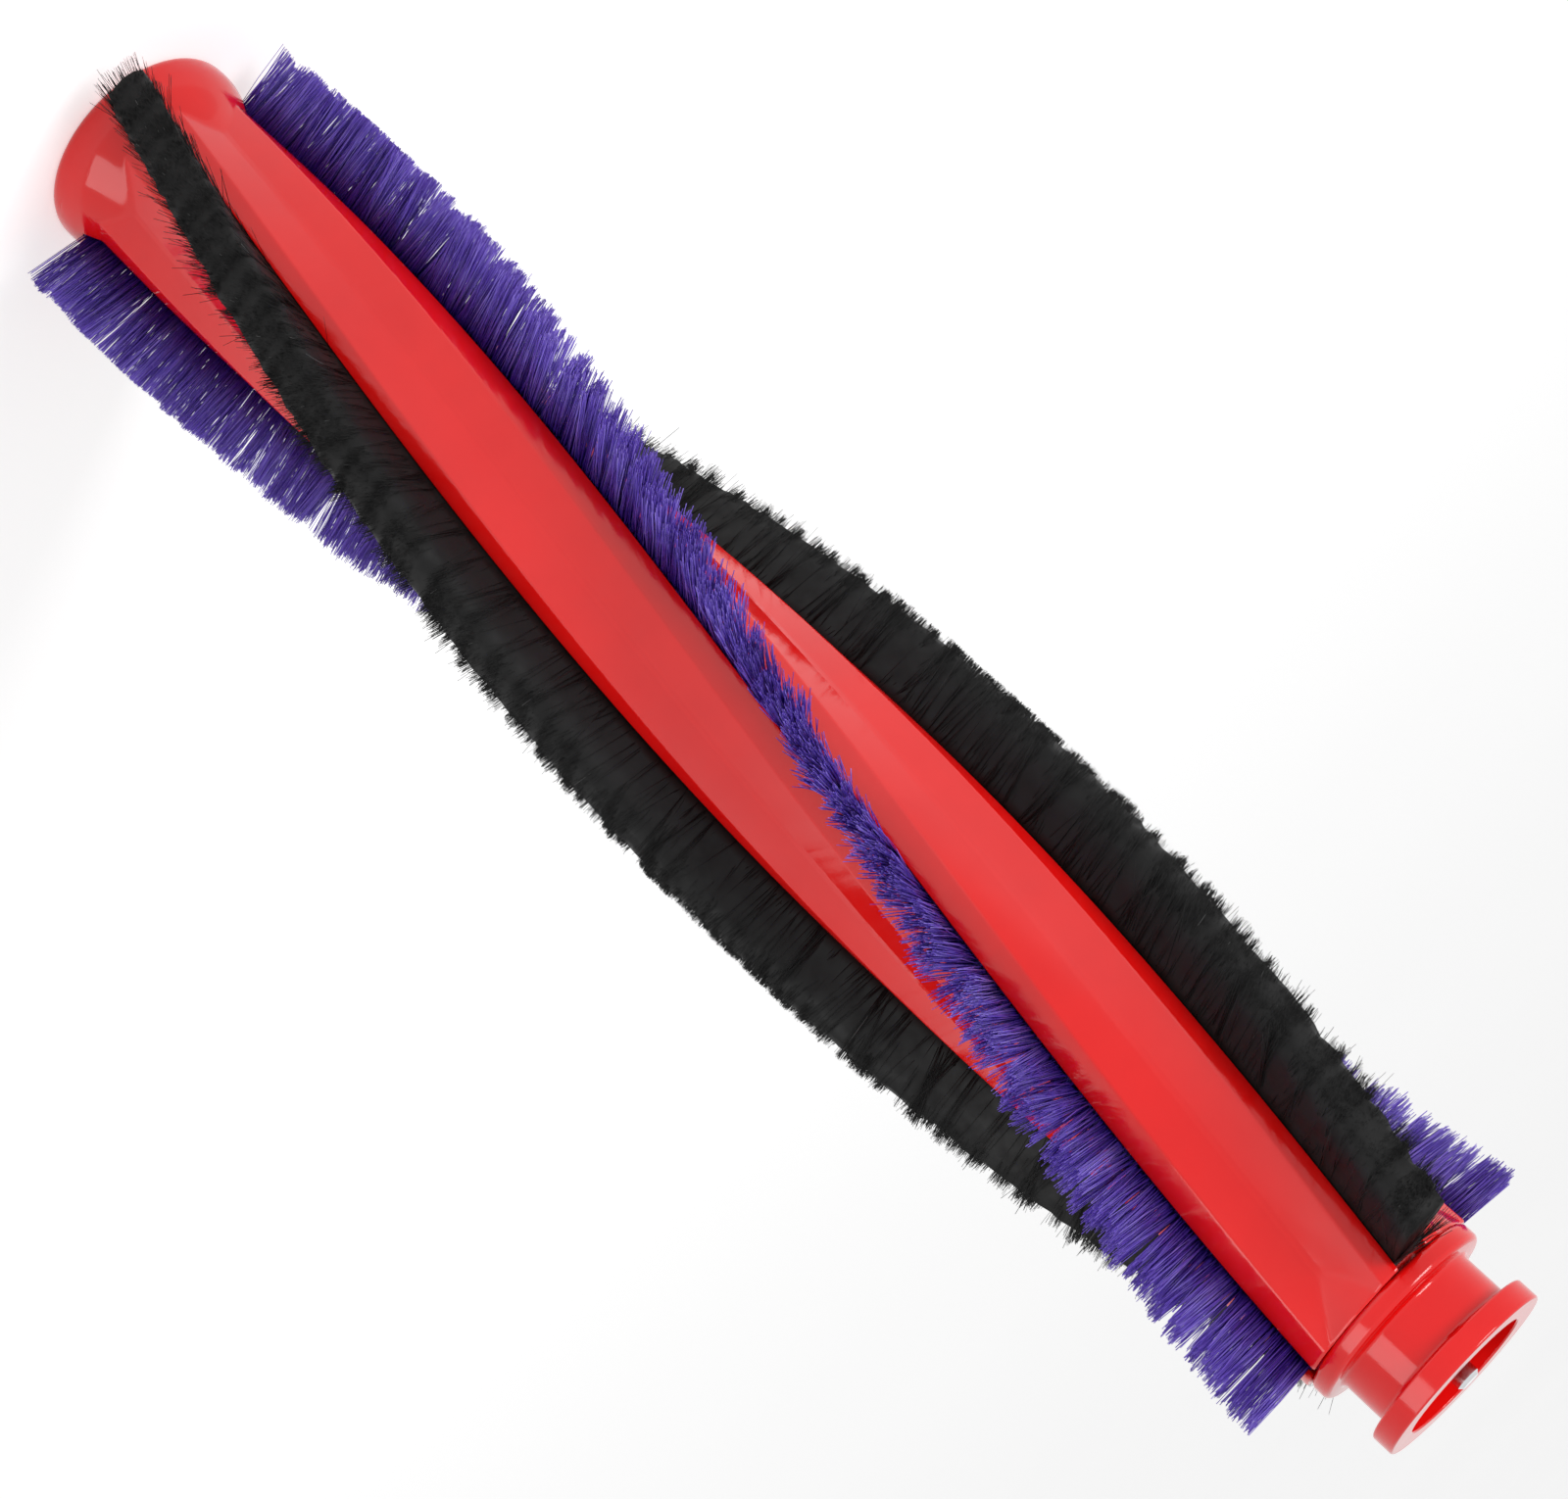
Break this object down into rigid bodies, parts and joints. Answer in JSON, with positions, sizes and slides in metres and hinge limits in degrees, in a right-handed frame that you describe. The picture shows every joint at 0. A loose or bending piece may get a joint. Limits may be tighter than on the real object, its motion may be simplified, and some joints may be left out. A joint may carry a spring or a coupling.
{
  "type": "vacuum roller brush",
  "caption": "Roller brush of a stick vacuum's floor head: a red tube with helical strips of violet nylon bristles and black carbon fibre, an open motor end and a spool end with a bearing pin.",
  "frame": {"origin": "centre of the bell mouth's rim, on the roller's axis", "axes": "+Z along the roller's axis, from the open bell mouth to the spool end with the pin"},
  "size_m": [0.0448, 0.0448, 0.2258],
  "materials": {
    "red_plastic": "high gloss moulded",
    "black_plastic": "matt moulded",
    "nylon_base": "satin",
    "nylon_fibre": "translucent filament",
    "carbon_fibre": "matt fibre pile",
    "bearing_steel": "ground",
    "cage_brass": "pressed",
    "pin_steel": "turned"
  },
  "bodies": {
    "roller": {"roller_core": "red_plastic", "drive_socket": "black_plastic", "end_cap": "red_plastic", "nylon_backing_1": "nylon_base", "nylon_backing_2": "nylon_base", "carbon_backing_1": "black_plastic", "carbon_backing_2": "black_plastic", "nylon_bristles_1": "nylon_fibre", "nylon_bristles_2": "nylon_fibre", "carbon_bristles_1": "carbon_fibre", "carbon_bristles_2": "carbon_fibre", "bearing_outer_ring": "bearing_steel", "bearing_shield_inner": "bearing_steel", "bearing_shield_outer": "bearing_steel"},
    "axle": {"axle_pin": "pin_steel", "bearing_inner_ring": "bearing_steel", "pin_shim": "pin_steel", "pin_clip": "pin_steel"},
    "ball_set": {"bearing_balls": "bearing_steel", "bearing_cage": "cage_brass"}
  },
  "joints": [
    {"name": "axle_spin", "type": "hinge", "parent": "roller", "child": "axle", "pos_m": [0, 0, 0.2182], "axis": [0, 0, 1], "continuous": true},
    {"name": "ball_orbit", "type": "hinge", "parent": "roller", "child": "ball_set", "pos_m": [0, 0, 0.2182], "axis": [0, 0, 1], "continuous": true}
  ],
  "couplings": [
    {"joint": "ball_orbit", "follows": "axle_spin", "ratio": 0.35185}
  ]
}
